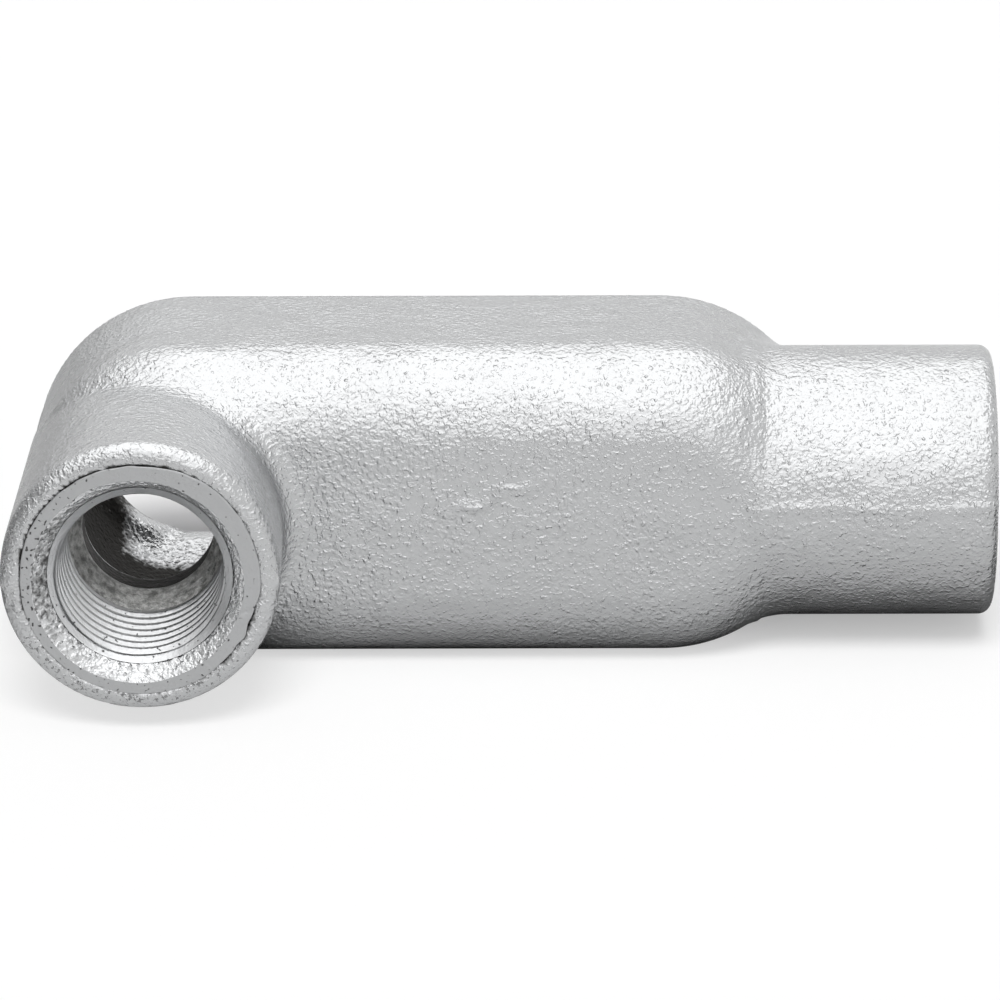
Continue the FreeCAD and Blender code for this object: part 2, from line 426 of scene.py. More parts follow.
# %% [markdown]
# The faces are turned so that they all point out of the metal. A mesh that is inside out looks right
# from far off, but its bumps become dents, so the volume inside the finished skin is measured: it
# comes out positive only when the faces point outwards.

# %% One face for each crossed edge
def edge_quads(sign, index, axis):
    """The four cells round every crossed grid edge along one axis, in outward order."""
    u, v = (axis + 1) % 3, (axis + 2) % 3
    start = [slice(1, None)] * 3
    start[axis] = slice(None, -1)
    end = list(start)
    end[axis] = slice(1, None)
    first, second = sign[tuple(start)], sign[tuple(end)]
    edge = np.argwhere(first != second)
    leaving = first[tuple(edge.T)]
    edge = edge + (np.arange(3) != axis)
    keep = (edge[:, u] < sign.shape[u] - 1) & (edge[:, v] < sign.shape[v] - 1)
    edge, leaving = edge[keep], leaving[keep]
    around = []
    for du, dv in ((1, 1), (0, 1), (0, 0), (1, 0)):
        cell = edge.copy()
        cell[:, u] -= du
        cell[:, v] -= dv
        around.append(index[tuple(cell.T)])
    quad = np.stack(around, 1)
    quad[~leaving] = quad[~leaving][:, ::-1]
    return quad


def surface(field, low, high, step):
    """Points and four-cornered faces of the field's zero surface inside a box."""
    axes = [np.arange(a, b + step, step) for a, b in zip(low, high)]
    value = field(*np.meshgrid(*axes, indexing="ij", sparse=True)).astype(np.float32)
    sign = value < 0
    active = crossed_cells(sign)
    index = -np.ones(active.shape, np.int64)
    index[active] = np.arange(active.sum())
    points = np.array(low) + cell_points(value, np.argwhere(active)) * step
    return points, np.concatenate([edge_quads(sign, index, axis) for axis in range(3)])


def volume(points, faces):
    """Volume inside a closed mesh: a sixth of the sum of a . (b x c + c x d) over its quads."""
    a, b, c, d = (points[faces[:, i]] for i in range(4))
    return float((a * (np.cross(b, c) + np.cross(c, d))).sum()) / 6


trial = surface(lambda x, y, z: np.sqrt(x * x + y * y + z * z) - 5, (-6, -6, -6), (6, 6, 6), 0.5)
print("a ball of radius 5 holds", round(volume(*trial)), "mm3; by formula", round(4 / 3 * math.pi * 125))

# %% [markdown]
# A cell's mean point lies a little inside a sharp corner, so the points are then slid along the
# field's slope onto the surface itself. About half a millimetre between points is fine enough for the
# roundings and the casting marks, and keeps the skin light. Finer grain is left to the material.

# %% Skin of the casting
SKIN_LOW, SKIN_HIGH = (-17, -36, -20), (97, 17, 20)     # a box just larger than the casting
SKIN_STEP = 0.6 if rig.quick() else 0.56
SLIDES, REACH = 2, 0.25                 # rounds of sliding, and the furthest that a point may go in one


def slope(field, points, step=0.02):
    """Field and gradient at scattered points: the change over a small step, divided by the step."""
    here = field(*points.T)
    return here, np.stack([(field(*(points + step * (np.arange(3) == a)).T) - here) / step
                           for a in range(3)], 1)


def settle(field, points, rounds, reach):
    """Moves points by -field times gradient over its square, never further than reach a round."""
    for _ in range(rounds):
        here, g = slope(field, points)
        move = -here[:, None] * g / np.maximum((g * g).sum(1), 0.2)[:, None]
        far = np.linalg.norm(move, axis=1, keepdims=True)
        points = points + move * np.minimum(1, reach / np.maximum(far, 1e-9))
    return points


skin, skin_faces = surface(casting_field, SKIN_LOW, SKIN_HIGH, SKIN_STEP)
skin = settle(casting_field, skin, SLIDES, REACH)
print("skin", len(skin), "points", len(skin_faces), "faces, holding",
      round(volume(skin, skin_faces) / 1000, 1), "cm3 of iron")

# %% [markdown]
# What a tool cuts is sharper than what sand leaves. At each hub the face is ground to a flat ring,
# the mouth behind it stays as cast, and a taper tap leaves a chamfer and a coarse pipe thread. These
# are turned surfaces: one profile carried round the hub's axis. A row of the grid is one turn of one
# point of the profile, and its radius and depth may waver with the angle as hand grinding does.

# %% Turned meshes
TURNS = 96 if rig.quick() else 288       # points in a turn


def new_piece(name, points, faces):
    """Smooth mesh object from arrays of points (mm, about the hub axes) and four-cornered faces."""
    mesh = bpy.data.meshes.new(name)
    mesh.from_pydata(to_row(points), [], faces.tolist())
    mesh.validate()
    mesh.polygons.foreach_set("use_smooth", np.full(len(mesh.polygons), True))
    piece = bpy.data.objects.new(name, mesh)
    bpy.context.scene.collection.objects.link(piece)
    return piece


def grid_faces(rows, turns, climb=0):
    """Faces of a grid whose rows close after a turn, each onto itself or onto the row climb further on."""
    i, j = np.meshgrid(np.arange(rows - 1 - climb), np.arange(turns), indexing="ij")
    k, up = (j + 1) % turns, np.where(j == turns - 1, climb, 0)
    quads = [i * turns + j, (i + up) * turns + k, (i + 1 + up) * turns + k, (i + 1) * turns + j]
    return np.stack(quads, -1).reshape(-1, 4)


def waves(angle, seed, orders, size):
    """Irregular closed wave: a sum of sines whose phases and heights come from a seed."""
    rng = np.random.default_rng(seed)
    total = np.zeros_like(angle)
    for n in orders:
        total += rng.normal() / math.sqrt(n) * np.sin(n * angle + rng.uniform(0, 6.283))
    return size * total


def turned(rows, angle):
    """Radius and depth of every point of a stack of rows, as two arrays."""
    radius = np.stack([np.broadcast_to(r, angle.shape) for r, _ in rows])
    depth = np.stack([np.broadcast_to(d, angle.shape) for _, d in rows])
    return radius, depth


turn = np.arange(TURNS) * 2 * math.pi / TURNS
print("a wave of size 0.1 mm swings", round(float(np.ptp(waves(turn, 5, (3, 5, 9, 14), 0.10))), 2), "mm")

# %% [markdown]
# The ground ring is what a fitter sees first: a dull flat with a thin dark split round it, where the
# lacquer has cracked away from the cut edge. The split is wide in some places and closed in others,
# so its width is a short list of what it is at some angles, filled in evenly between. The ring's
# inner edge is off centre, because the bore is cast and the face is ground in another setting.

# %% Ground ring
SPLIT_AT = [0, 15, 45, 73, 84, 100, 112, 130, 180, 200, 225, 240, 300, 312, 324, 329, 336, 346, 352, 360]
SPLIT = [.12, .20, .17, .22, .42, .42, .34, .26, .26, .16, .10, 0, 0, .28, .34, .05, .40, .40, .10, .12]
EDGE_R, EDGE_OFF = 11.7, (0.28, 0.4)    # ring's inner edge: mean radius, and how far off centre
CHIP_AT, CHIP_DEEP, CHIP_HALF = 5.98, 0.22, 0.016   # one file mark across the ring, angle in radians
SHY, SPLIT_WIDE, SIDE_DEEP, BEVEL = 0.12, 0.9, 0.6, 0.05    # ring's outer edge, in mm


def ring_edge(angle):
    """Inner edge: EDGE_R less EDGE_OFF times (cosine, sine) of the angle, and a little ragged."""
    off = EDGE_OFF[1] * np.sin(angle) + EDGE_OFF[0] * np.cos(angle)
    return EDGE_R - off + waves(angle, 5, (3, 5, 9, 14), 0.10)


def ring_rows(angle):
    """Flat from the split to the inner edge, dented by clipped waves and cut by one file mark."""
    split = np.interp(np.degrees(angle), SPLIT_AT, SPLIT)
    ragged = waves(angle, 3, (7, 11, 17, 29, 41), 0.07) * (0.3 + 2 * split)
    outer = RING_OUT - SHY - SPLIT_WIDE * split + ragged
    flat, inner = outer - BEVEL, ring_edge(angle)
    rows = [(outer, SIDE_DEEP), (outer, 0.8 * BEVEL), (flat, 0.0)]
    for t in np.linspace(0.1, 1, 9):
        across = math.sin(math.pi * t)
        chip = CHIP_DEEP * np.exp(-((angle - CHIP_AT + 0.10 * (t - 0.4)) / CHIP_HALF) ** 2) * across
        dents = np.clip(waves(angle, 30 + int(t * 9), (19, 31, 47, 61), 0.05), 0, 1) * across
        rows.append((flat + (inner - flat) * t, chip + dents))
    return rows


width = ring_rows(turn)[2][0] - ring_edge(turn)
print("ground ring from", round(float(width.min()), 2), "to", round(float(width.max()), 2), "mm wide")

# %% [markdown]
# Behind the ring the mouth flares inwards as it was cast, lumpy from the core, down to a fine step
# where the reamer stopped. The wires' shoulder at the far end of the thread is cast too: a rough cone
# that the pipe's end butts against, then the smooth throat. Both are stacks of rows with lumps that
# die out at the two edges, so that they meet their neighbours cleanly.

# %% Cast flare and shoulder
CREST_R, TAPER = 9.2, 1 / 32            # thread's crest at the face; taper of a pipe thread, on radius
REAM_R, REAM_DEEP = 10.2, 1.15          # where the reamer stopped and the tap's lead begins
FLARE_R, FLARE_DEEP = 10.27, 1.12       # inner end of the cast flare
THROAT_END = 18.4                       # depth where the shoulder's surface ends, inside the skin's throat


def flare_rows(angle):
    """Cone from the ring's edge to FLARE_R; its depth is 3/4 t + 1/4 t squared of FLARE_DEEP."""
    edge = ring_edge(angle)
    rows = []
    for t in np.linspace(0, 1, 15):
        lumps = waves(angle, 60 + int(14 * t) // 2, (7, 12, 19, 28, 40), 0.05) * math.sin(math.pi * t)
        rows.append((edge + (FLARE_R - edge) * t + lumps, FLARE_DEEP * (0.75 * t + 0.25 * t * t)))
    return rows + [(REAM_R + 0.02, REAM_DEEP + 0.09)]


def shoulder_rows(angle):
    """Cone whose radius falls evenly from CONE_R to THROAT_R, with lumps, then a short throat."""
    rows = [(CREST_R - TAPER * THREAD_TO, THREAD_TO)]
    for t in np.linspace(0, 1, 25):
        lumps = waves(angle, 20 + int(24 * t) // 3, (5, 9, 14, 22, 31, 43), 0.10)
        radius = CONE_R - (CONE_R - THROAT_R) * t - 0.02 + lumps * math.sin(math.pi * t) ** 0.5
        rows.append((radius, CONE_FROM + (CONE_LEN + 0.1) * t))
    return rows + [(THROAT_R - 0.04, THROAT_END - 0.3), (THROAT_R + 0.12, THROAT_END)]


print("flare", len(flare_rows(turn)), "rows, shoulder", len(shoulder_rows(turn)), "rows,",
      round(REAM_R - THROAT_R, 2), "mm from the reamed edge in to the throat")

# %% [markdown]
# A half-inch taper pipe thread has 14 turns to the inch, a pitch of 1.814 mm. A stack of separate
# grooves would look much the same from the front, but it would have no start where the tap went in.
# So the rows follow the helix: each point of the profile climbs one pitch in a turn and closes onto
# the same point of the next turn, which keeps every crest and root a crisp edge.

# %% Tapped thread
PITCH, THREAD_H = 1.814, 1.0
PROFILE = np.array([0.0, 0.09, 0.13, 0.17, 0.25, 0.36, 0.46, 0.54, 0.64, 0.75, 0.83, 0.87, 0.91])
ROOT_HALF, FLANK = 0.04, 0.33           # half the root's flat and one flank, in pitches
LEAD_SLOPE, LEAD_TO, RUN_OUT = 1.05, 3.2, 1.2       # chamfer's slope and depth; fade at the far end
CUT_FROM, CUT_FULL = 1.6, 2.4           # depth where the groove begins, and where it is full


def thread_rows(angle):
    """Depth grows one pitch a turn; radius is the tapered crest and, in the groove, up to THREAD_H more."""
    swing = np.clip((ROOT_HALF + FLANK - np.abs(PROFILE - 0.5)) / FLANK, 0, 1)
    turns = np.arange(-2, 10)
    climbed = (turns[:, None] + PROFILE).ravel()[:, None] + angle / (2 * math.pi)
    depth = THREAD_FROM - PITCH + climbed * PITCH
    crest = CREST_R - TAPER * depth
    groove = THREAD_H * np.tile(swing, len(turns))[:, None]
    radius = crest + groove * np.clip((depth - CUT_FROM) / (CUT_FULL - CUT_FROM), 0, 1)
    lead = REAM_R - (depth - REAM_DEEP) * LEAD_SLOPE
    radius = np.where(depth < LEAD_TO, np.maximum(radius, lead), radius)
    radius = np.where(depth < REAM_DEEP, REAM_R, radius)
    tail = CREST_R - TAPER * THREAD_TO
    fade = np.clip((THREAD_TO - depth) / RUN_OUT, 0, 1)
    radius = np.where(depth > THREAD_TO - RUN_OUT, tail + (radius - tail) * fade, radius)
    return radius, np.clip(depth, REAM_DEEP, CONE_FROM)


print("thread", round((THREAD_TO - THREAD_FROM) / PITCH, 1), "turns, crests",
      round(2 * (CREST_R - TAPER * THREAD_FROM), 2), "mm across at the mouth")

# %% [markdown]
# The four surfaces of a mouth are put together as one piece with a material for each: ground ring,
# cast flare, tapped thread and cast shoulder. Two numbers are kept at each point for the materials to
# read: how worn it is, since one side of the ring was rubbed more than the other, and how bare. The
# same function makes both mouths, which differ only in which way the hub points.

# %% Mouths of both hubs
WORN_AT, WORN = [0, 20, 120, 150, 185, 215, 240, 330, 360], [.2, 0, .1, .8, 1, .6, .4, .3, .2]


def mark(piece, name, values):
    """Keeps one number a point on the mesh, for the material to read."""
    kept = piece.data.attributes.new(name, "FLOAT", "POINT")
    kept.data.foreach_set("value", np.asarray(values, np.float32).ravel())


def hub_mouth(name, place):
    """Four turned grids, less their flat faces; place puts radius, angle and depth in space."""
    parts, faces, depths, finish, start = [], [], [], [], 0
    grids = (turned(ring_rows(turn), turn), turned(flare_rows(turn), turn), thread_rows(turn),
             turned(shoulder_rows(turn), turn))
    for metal, (radius, depth) in enumerate(grids):
        climb = len(PROFILE) if metal == 2 else 0
        quads = grid_faces(len(radius), TURNS, climb)
        real = sum(np.ptp(size.ravel()[quads], axis=1) for size in (depth, radius)) > 1e-6
        faces.append(quads[real] + start)
        parts.append(place(radius, turn, depth).reshape(-1, 3))
        finish.append(np.full(len(faces[-1]), metal, np.int32))
        depths.append(depth.ravel())
        start += len(parts[-1])
    depths = np.concatenate(depths)
    piece = new_piece(name, np.concatenate(parts), np.concatenate(faces))
    around = np.tile(np.degrees(turn), len(depths) // TURNS)
    worn = np.interp(around, WORN_AT, WORN)
    mark(piece, "wear", worn * (depths < 1.1))
    mark(piece, "bare_and_shade", 0.5 * worn * (depths > 0.02) * (depths < 1.13))
    piece.data.polygons.foreach_set("material_index", np.concatenate(finish))
    return piece


def on_back(radius, angle, depth):
    """Back hub: its axis is y, and depth grows with y."""
    return np.stack([radius * np.cos(angle), depth - BACK_FACE + 0 * angle, radius * np.sin(angle)], -1)


def on_end(radius, angle, depth):
    """End hub: its axis is x, and depth grows against x."""
    return np.stack([END_FACE - depth + 0 * angle, radius * np.cos(angle), radius * np.sin(angle)], -1)


back_mouth = hub_mouth("back_hub_mouth", on_back)
end_mouth = hub_mouth("end_hub_mouth", on_end)
print("each mouth has", len(back_mouth.data.polygons), "faces")

# %% [markdown]
# The skin carries three such numbers. Deep in the hollow near the back hub the skin is given a dark, dull iron colour
# as painted shade, except on the lip of the throat, which is left light. The seat for the cover is ground flat, and
# the edge of the back hub is scuffed on its low side.

# %% Marks on the skin
SHADE_Y, SHADE_X, SHADE_FADE = 6.9, -2.5, 2.4         # painted shade below this y or left of this x; its soft edge
THROAT_X, THROAT_FADE = 10, 7                       # and only this near the back hub's throat
LIP_Y, LIP_HALF, LIP_WITHIN = -12.1, 0.45, 9        # the throat's lip, which the painted shade leaves out
EDGE_AT, EDGE_HALF, EDGE_DEEP = 14, 0.9, 1.5        # scuffed edge: radius, half width, depth

casting = new_piece("casting_skin", skin, skin_faces)
skin_x, skin_y, skin_z = skin.T
from_axis = np.hypot(skin_x, skin_z)
inside = np.abs(hollow(*skin.T)) < np.abs(outside(*skin.T))
# Painted shade: the skin deep in the hollow near the back hub takes the dark iron colour, all but the throat's lip.
lip_clear_of_shade = np.exp(-((skin_y - LIP_Y) / LIP_HALF) ** 2) * (from_axis < LIP_WITHIN)
deep_shade = np.maximum((SHADE_Y - skin_y) / SHADE_FADE, (SHADE_X - skin_x) / -SHADE_X)
near_throat = 1 - np.clip((skin_x - THROAT_X) / THROAT_FADE, 0, 1)
mark(casting, "bare_and_shade", inside * np.clip(deep_shade, 0, 1) * (1 - lip_clear_of_shade) * near_throat)
mark(casting, "ground", (skin_y > RIM_Y - 0.12) & (slot(skin_x, skin_z, BODY_HALF) < -0.5))
on_edge = np.exp(-((from_axis - EDGE_AT) / EDGE_HALF) ** 2) * (skin_y < EDGE_DEEP - BACK_FACE)
mark(casting, "wear", on_edge * np.clip(0.35 - skin_z / 12 - skin_x / 30, 0, 1))
print("share of the skin inside the hollow", round(float(inside.mean()), 2))

# %% [markdown]
# On the bench this is one lump of iron, so the skin and both mouths ride on the part's one body, take
# their finish from the iron's slot, and together stand for the casting that was drawn.

# %% Pieces handed to the frame
for piece in (back_mouth, end_mouth, casting):
    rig.ride(piece, "root")
    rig.slot(piece, "cast_iron")
    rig.replaces(piece, "casting")
print({p.name: len(p.data.polygons) for p in (back_mouth, end_mouth, casting)})

# %% [markdown]
# Materials are small networks of nodes. Four helpers keep them readable: one turns the hex colours
# that a painter would note down into the linear light that the renderer counts in, one adds a node
# with its settings and links, and one starts a material with coordinates fixed to the piece. A
# fourth lays reliefs of several sizes one over another, as sand, lacquer and tool left them.

# %% Shader helpers
def linear(colour):
    """Linear colour from an sRGB hex string: c / 12.92 near black, else ((c + 0.055) / 1.055) ** 2.4."""
    srgb = [int(colour[i:i + 2], 16) / 255 for i in (1, 3, 5)]
    return [c / 12.92 if c <= 0.04045 else ((c + 0.055) / 1.055) ** 2.4 for c in srgb] + [1.0]


def add(tree, kind, inputs=None, **settings):
    """Adds one node; inputs maps a socket's name or number to a value or to another socket."""
    made = tree.nodes.new("ShaderNode" + kind)
    for name, value in settings.items():
        setattr(made, name, value)
    for name, value in (inputs or {}).items():
        if isinstance(value, bpy.types.NodeSocket):
            tree.links.new(value, made.inputs[name])
        else:
            made.inputs[name].default_value = value
    return made


def new_material(name):
    """Empty material: itself, its node tree, and the object's own coordinates in metres."""
    material = bpy.data.materials.new(name)
    material.use_nodes = True
    tree = material.node_tree
    tree.nodes.clear()
    return material, tree, add(tree, "TexCoord").outputs["Object"]


def relief(tree, layers):
    """Normal of several reliefs laid one over another: a height, a depth in metres, a strength each."""
    normal = None
    for height, distance, strength in layers:
        under = {"Normal": normal} if normal else {}
        inputs = {"Height": height, "Distance": distance, "Strength": strength, **under}
        normal = add(tree, "Bump", inputs).outputs["Normal"]
    return normal


print("sRGB #808080 is", round(linear("#808080")[0], 3), "in linear light")

# %% [markdown]
# Malleable iron fittings are zinc plated and then sprayed with aluminium lacquer. The eye reads it by its
# sheen: metal flake in a clear binder, bright but not mirror-like, over a skin that keeps the grain of
# the moulding sand. The grain has several sizes, here in millimetres: slow swells of 2.8, wrinkles of
# about 0.55 where lacquer bridges the grains, single grains of 0.45 that stand up as nubs, and pits
# of 0.5 where lacquer ran thin. Patches of about 9 are smoother or rougher, as the sand was. One
# noise for all of it would look like hammered paint.

# %% Lacquered casting
PATCH, SWELL, WRINKLE, SPECK, PITS = 0.009, 0.0028, 0.00055, 0.00045, 0.0005    # sizes in metres
SKIN_GRAIN, MOUTH_GRAIN = 0.00025, 0.00034      # height of the wrinkles, in metres
# Dark iron: bare on the worn mouths and painted shade deep in the hollow; and iron open in the pits.
BARE_AND_SHADE, OPEN_IRON = linear("#3E3D3B"), linear("#2F2E2C")


def thin_spots(tree, at, patch):
    """Pits: 0 to 1 where fine noise + 0.20 patch - 0.17 wear falls under 0.375."""
    pits = add(tree, "TexNoise", {"Vector": at, "Scale": 1 / PITS, "Detail": 3.0, "Roughness": 0.7,
                                  "W": 3.0}, noise_dimensions="4D")
    wear = add(tree, "Attribute", attribute_name="wear").outputs["Fac"]
    thin = add(tree, "Math", {0: patch, 1: 0.20, 2: pits.outputs["Fac"]}, operation="MULTIPLY_ADD")
    lower = add(tree, "Math", {0: wear, 1: -0.17, 2: thin.outputs[0]}, operation="MULTIPLY_ADD")
    return add(tree, "MapRange", {"Value": lower.outputs[0], "From Min": 0.375,
                                  "From Max": 0.325}).outputs["Result"]


def sand_relief(tree, at, patch, wrinkle, pit, grain_height):
    """Swells, wrinkles and nubs, less where the seat is ground and where the sand was smooth."""
    rough_patch = add(tree, "MapRange", {"Value": patch, "From Min": 0.36, "From Max": 0.60,
                                         "To Min": 0.35, "To Max": 1.0}).outputs["Result"]
    swell = add(tree, "TexNoise", {"Vector": at, "Scale": 1 / SWELL, "Detail": 1.0})
    speck = add(tree, "TexNoise", {"Vector": at, "Scale": 1 / SPECK, "Detail": 1.0})
    nub = add(tree, "MapRange", {"Value": speck.outputs["Fac"], "From Min": 0.52, "From Max": 0.80})
    ground = add(tree, "Attribute", attribute_name="ground").outputs["Fac"]
    unground = add(tree, "Math", {0: ground, 1: -0.85, 2: 1.0}, operation="MULTIPLY_ADD").outputs[0]
    grain = add(tree, "Math", {0: rough_patch, 1: unground}, operation="MULTIPLY").outputs[0]
    raised = add(tree, "Math", {0: unground, 1: 0.9}, operation="MULTIPLY").outputs[0]
    return relief(tree, ((swell.outputs["Fac"], 0.0002, 1.0), (wrinkle, grain_height, grain),
                         (nub.outputs["Result"], 0.00010, raised), (pit, -0.00008, 1.0)))


def lacquered_casting(name, grain_height, flake):
    """Flake-coloured metal over sand relief; dark in the pits, and dark iron past a ragged edge: bare iron on the worn
    mouths, painted shade deep in the hollow.
    """
    material, tree, at = new_material(name)
    patch = add(tree, "TexNoise", {"Vector": at, "Scale": 1 / PATCH, "Detail": 2.0}).outputs["Fac"]
    wrinkle = add(tree, "TexNoise", {"Vector": at, "Scale": 1 / WRINKLE, "Detail": 1.3,
                                     "Roughness": 0.45, "Distortion": 0.3}).outputs["Fac"]
    pit = thin_spots(tree, at, patch)
    normal = sand_relief(tree, at, patch, wrinkle, pit, grain_height)
    bare_and_shade = add(tree, "Attribute", attribute_name="bare_and_shade").outputs["Fac"]
    # Past a ragged edge the colour turns to dark iron: bare iron on the worn mouths, painted shade deep in the hollow.
    ragged = add(tree, "Math", {0: wrinkle, 1: -0.5}, operation="ADD")
    edge = add(tree, "Math", {0: ragged.outputs[0], 1: 1.1, 2: bare_and_shade}, operation="MULTIPLY_ADD")
    bare_and_shade_mask = add(tree, "MapRange", {"Value": edge.outputs[0], "From Min": 0.22,
                                      "From Max": 0.78}).outputs["Result"]
    worn = add(tree, "Math", {0: pit, 1: 0.55}, operation="MULTIPLY")
    dark = add(tree, "Mix", {"Factor": worn.outputs[0], 6: linear(flake), 7: OPEN_IRON}, data_type="RGBA")
    colour = add(tree, "Mix", {"Factor": bare_and_shade_mask, 6: dark.outputs[2], 7: BARE_AND_SHADE}, data_type="RGBA")
    sheen = add(tree, "MapRange", {"Value": patch, "From Min": 0.3, "From Max": 0.7,
                                   "To Min": 0.21, "To Max": 0.31})
    dull = add(tree, "Mix", {"Factor": bare_and_shade_mask, 2: sheen.outputs["Result"], 3: 0.6})
    lacquer = add(tree, "BsdfPrincipled", {"Base Color": colour.outputs[2], "Metallic": 1.0,
                                           "Roughness": dull.outputs[0], "Normal": normal})
    add(tree, "OutputMaterial", {"Surface": lacquer.outputs["BSDF"]})
    return material


cast_skin = lacquered_casting("zinc-and-aluminium-lacquered malleable iron casting", SKIN_GRAIN, "#CACBCC")
cast_mouth = lacquered_casting("lacquered cast mouth, rough from the sand core", MOUTH_GRAIN, "#DCDDDE")
print("lacquered casting:", len(cast_skin.node_tree.nodes), "nodes, grain", SKIN_GRAIN * 1000, "mm high")

# %% [markdown]
# The ring is ground and the thread is cut, so neither shows grains of sand. Lacquer lies over both:
# it rounds the tool marks and leaves a fine, nearly even sheen, with a slow wave of 3 mm from the drag
# of the tool and a few pinholes. One recipe with two brightnesses is used, because a freshly cut
# thread has bright zinc under the lacquer and the ground ring is duller. Real grinding scratches are
# finer than a hair, so the fine grain is drawn at 0.3 mm, the smallest that shows.

# %% Cut surfaces
FINE, DRAG, PINHOLE = 0.0003, 0.003, 0.00042    # sizes in metres


def cut_metal(name, colour, rough):
    """Metal with drag wave, fine grain and pinholes; roughness swings 0.06 either way with the grain."""
    material, tree, at = new_material(name)
    fine = add(tree, "TexNoise", {"Vector": at, "Scale": 1 / FINE, "Detail": 3.0})
    drag = add(tree, "TexNoise", {"Vector": at, "Scale": 1 / DRAG, "Detail": 2.0})
    holes = add(tree, "TexNoise", {"Vector": at, "Scale": 1 / PINHOLE, "Detail": 0.0})
    wear = add(tree, "Attribute", attribute_name="wear").outputs["Fac"]
    lower = add(tree, "Math", {0: wear, 1: -0.15, 2: holes.outputs["Fac"]}, operation="MULTIPLY_ADD")
    pit = add(tree, "MapRange", {"Value": lower.outputs[0], "From Min": 0.22,
                                 "From Max": 0.16}).outputs["Result"]
    normal = relief(tree, ((drag.outputs["Fac"], 0.0001, 1.0), (fine.outputs["Fac"], 0.00005, 1.0),
                           (pit, -0.0001, 1.0)))
    worn = add(tree, "Math", {0: pit, 1: 0.8}, operation="MULTIPLY")
    tint = add(tree, "Mix", {"Factor": worn.outputs[0], 6: linear(colour), 7: OPEN_IRON}, data_type="RGBA")
    tone = add(tree, "MapRange", {"Value": fine.outputs["Fac"], "From Min": 0.3, "From Max": 0.7,
                                  "To Min": rough - 0.06, "To Max": rough + 0.06})
    lacquer = add(tree, "BsdfPrincipled", {"Base Color": tint.outputs[2], "Metallic": 1.0,
                                           "Roughness": tone.outputs["Result"], "Normal": normal})
    add(tree, "OutputMaterial", {"Surface": lacquer.outputs["BSDF"]})
    return material


ground_ring = cut_metal("ground hub face under aluminium lacquer", "#BCBDBE", 0.42)
tapped = cut_metal("tapped pipe thread under aluminium lacquer", "#D8D9DA", 0.34)
print("cut finishes:", ground_ring.name, "and", tapped.name)

# %% [markdown]
# The shoulder lies too deep for the spray. It keeps the zinc plate alone, dull and pale over the coarse sand of the
# core, so it is mostly diffuse: grains of 0.9 mm, with painted light and shade, pale on their tops and grey between
# them.

# %% Zinc shoulder and the pieces' materials
SAND = 0.0009                           # core sand, in metres
shoulder_zinc, tree, at = new_material("zinc-plated sand-cast shoulder, never lacquered")
sand = add(tree, "TexNoise", {"Vector": at, "Scale": 1 / SAND, "Detail": 4.0, "Roughness": 0.65})
# Painted light and shade: the tone follows the grains' height, pale on top and grey between.
shade = add(tree, "MapRange", {"Value": sand.outputs["Fac"], "From Min": 0.35, "From Max": 0.65})
tint = add(tree, "Mix", {"Factor": shade.outputs["Result"], 6: linear("#959593"), 7: linear("#F2F2F0")},
           data_type="RGBA")
rough = add(tree, "Bump", {"Height": sand.outputs["Fac"], "Distance": 0.0006, "Strength": 1.0})
dull = add(tree, "BsdfPrincipled", {"Base Color": tint.outputs[2], "Metallic": 0.3, "Roughness": 0.5,
                                    "Normal": rough.outputs["Normal"]})
add(tree, "OutputMaterial", {"Surface": dull.outputs["BSDF"]})

casting.data.materials.append(cast_skin)
for piece in (back_mouth, end_mouth):
    for metal in (ground_ring, cast_mouth, tapped, shoulder_zinc):
        piece.data.materials.append(metal)
print("materials on a mouth", [m.name for m in back_mouth.data.materials])

# %% [markdown]
# The part lies on a sheet of white card. Seen straight, the card is white with a soft shadow, and a patch of painted
# shadow lies behind the back hub where its bore looks out. The card's half towards the camera is lifted to white by a
# share of emission. The lacquer sees it otherwise: a bright casting is drawn by what it mirrors, so the card's
# mirrored tone is painted shade: a dark strip along the part that grows lighter on both sides, and is darker again
# past the back hub's end. One even tone would leave the lower half of the casting flat.

# %% Card
STRIP_Y, DARK, LIGHT, FAR = 0.010, 0.15, 0.60, 0.16     # painted shade: dark strip beside the part; mirrored tones
SHADOW_SPOT = (-0.039, 0.043, 0.0)             # painted shadow on the card, seen through the back hub's bore

card, tree, at = new_material("white card table")
place = add(tree, "SeparateXYZ", {0: at})
# Painted shade for mirrors: dark beside the part, lighter further out, darker again past the back hub's end.
from_strip = add(tree, "Math", {0: place.outputs["Y"], 1: -STRIP_Y}, operation="ADD")
off = add(tree, "Math", {0: from_strip.outputs[0]}, operation="ABSOLUTE").outputs[0]
near = add(tree, "MapRange", {"Value": off, "From Min": 0.009, "From Max": 0.0185,
                              "To Min": DARK, "To Max": LIGHT})
far = add(tree, "MapRange", {"Value": off, "From Min": 0.021, "From Max": 0.05,
                             "To Min": 0.0, "To Max": FAR})
painted_shade_tones = add(tree, "Math", {0: near.outputs["Result"], 1: far.outputs["Result"]}, operation="ADD")
side = add(tree, "MapRange", {"Value": place.outputs["X"], "From Min": -0.11, "From Max": -0.058,
                              "To Min": 0.55, "To Max": 1.0})
tone = add(tree, "Math", {0: painted_shade_tones.outputs[0], 1: side.outputs["Result"]}, operation="MULTIPLY").outputs[0]
grey = add(tree, "CombineColor", {0: tone, 1: tone, 2: tone})
mirrored = add(tree, "BsdfDiffuse", {"Color": grey.outputs[0]})

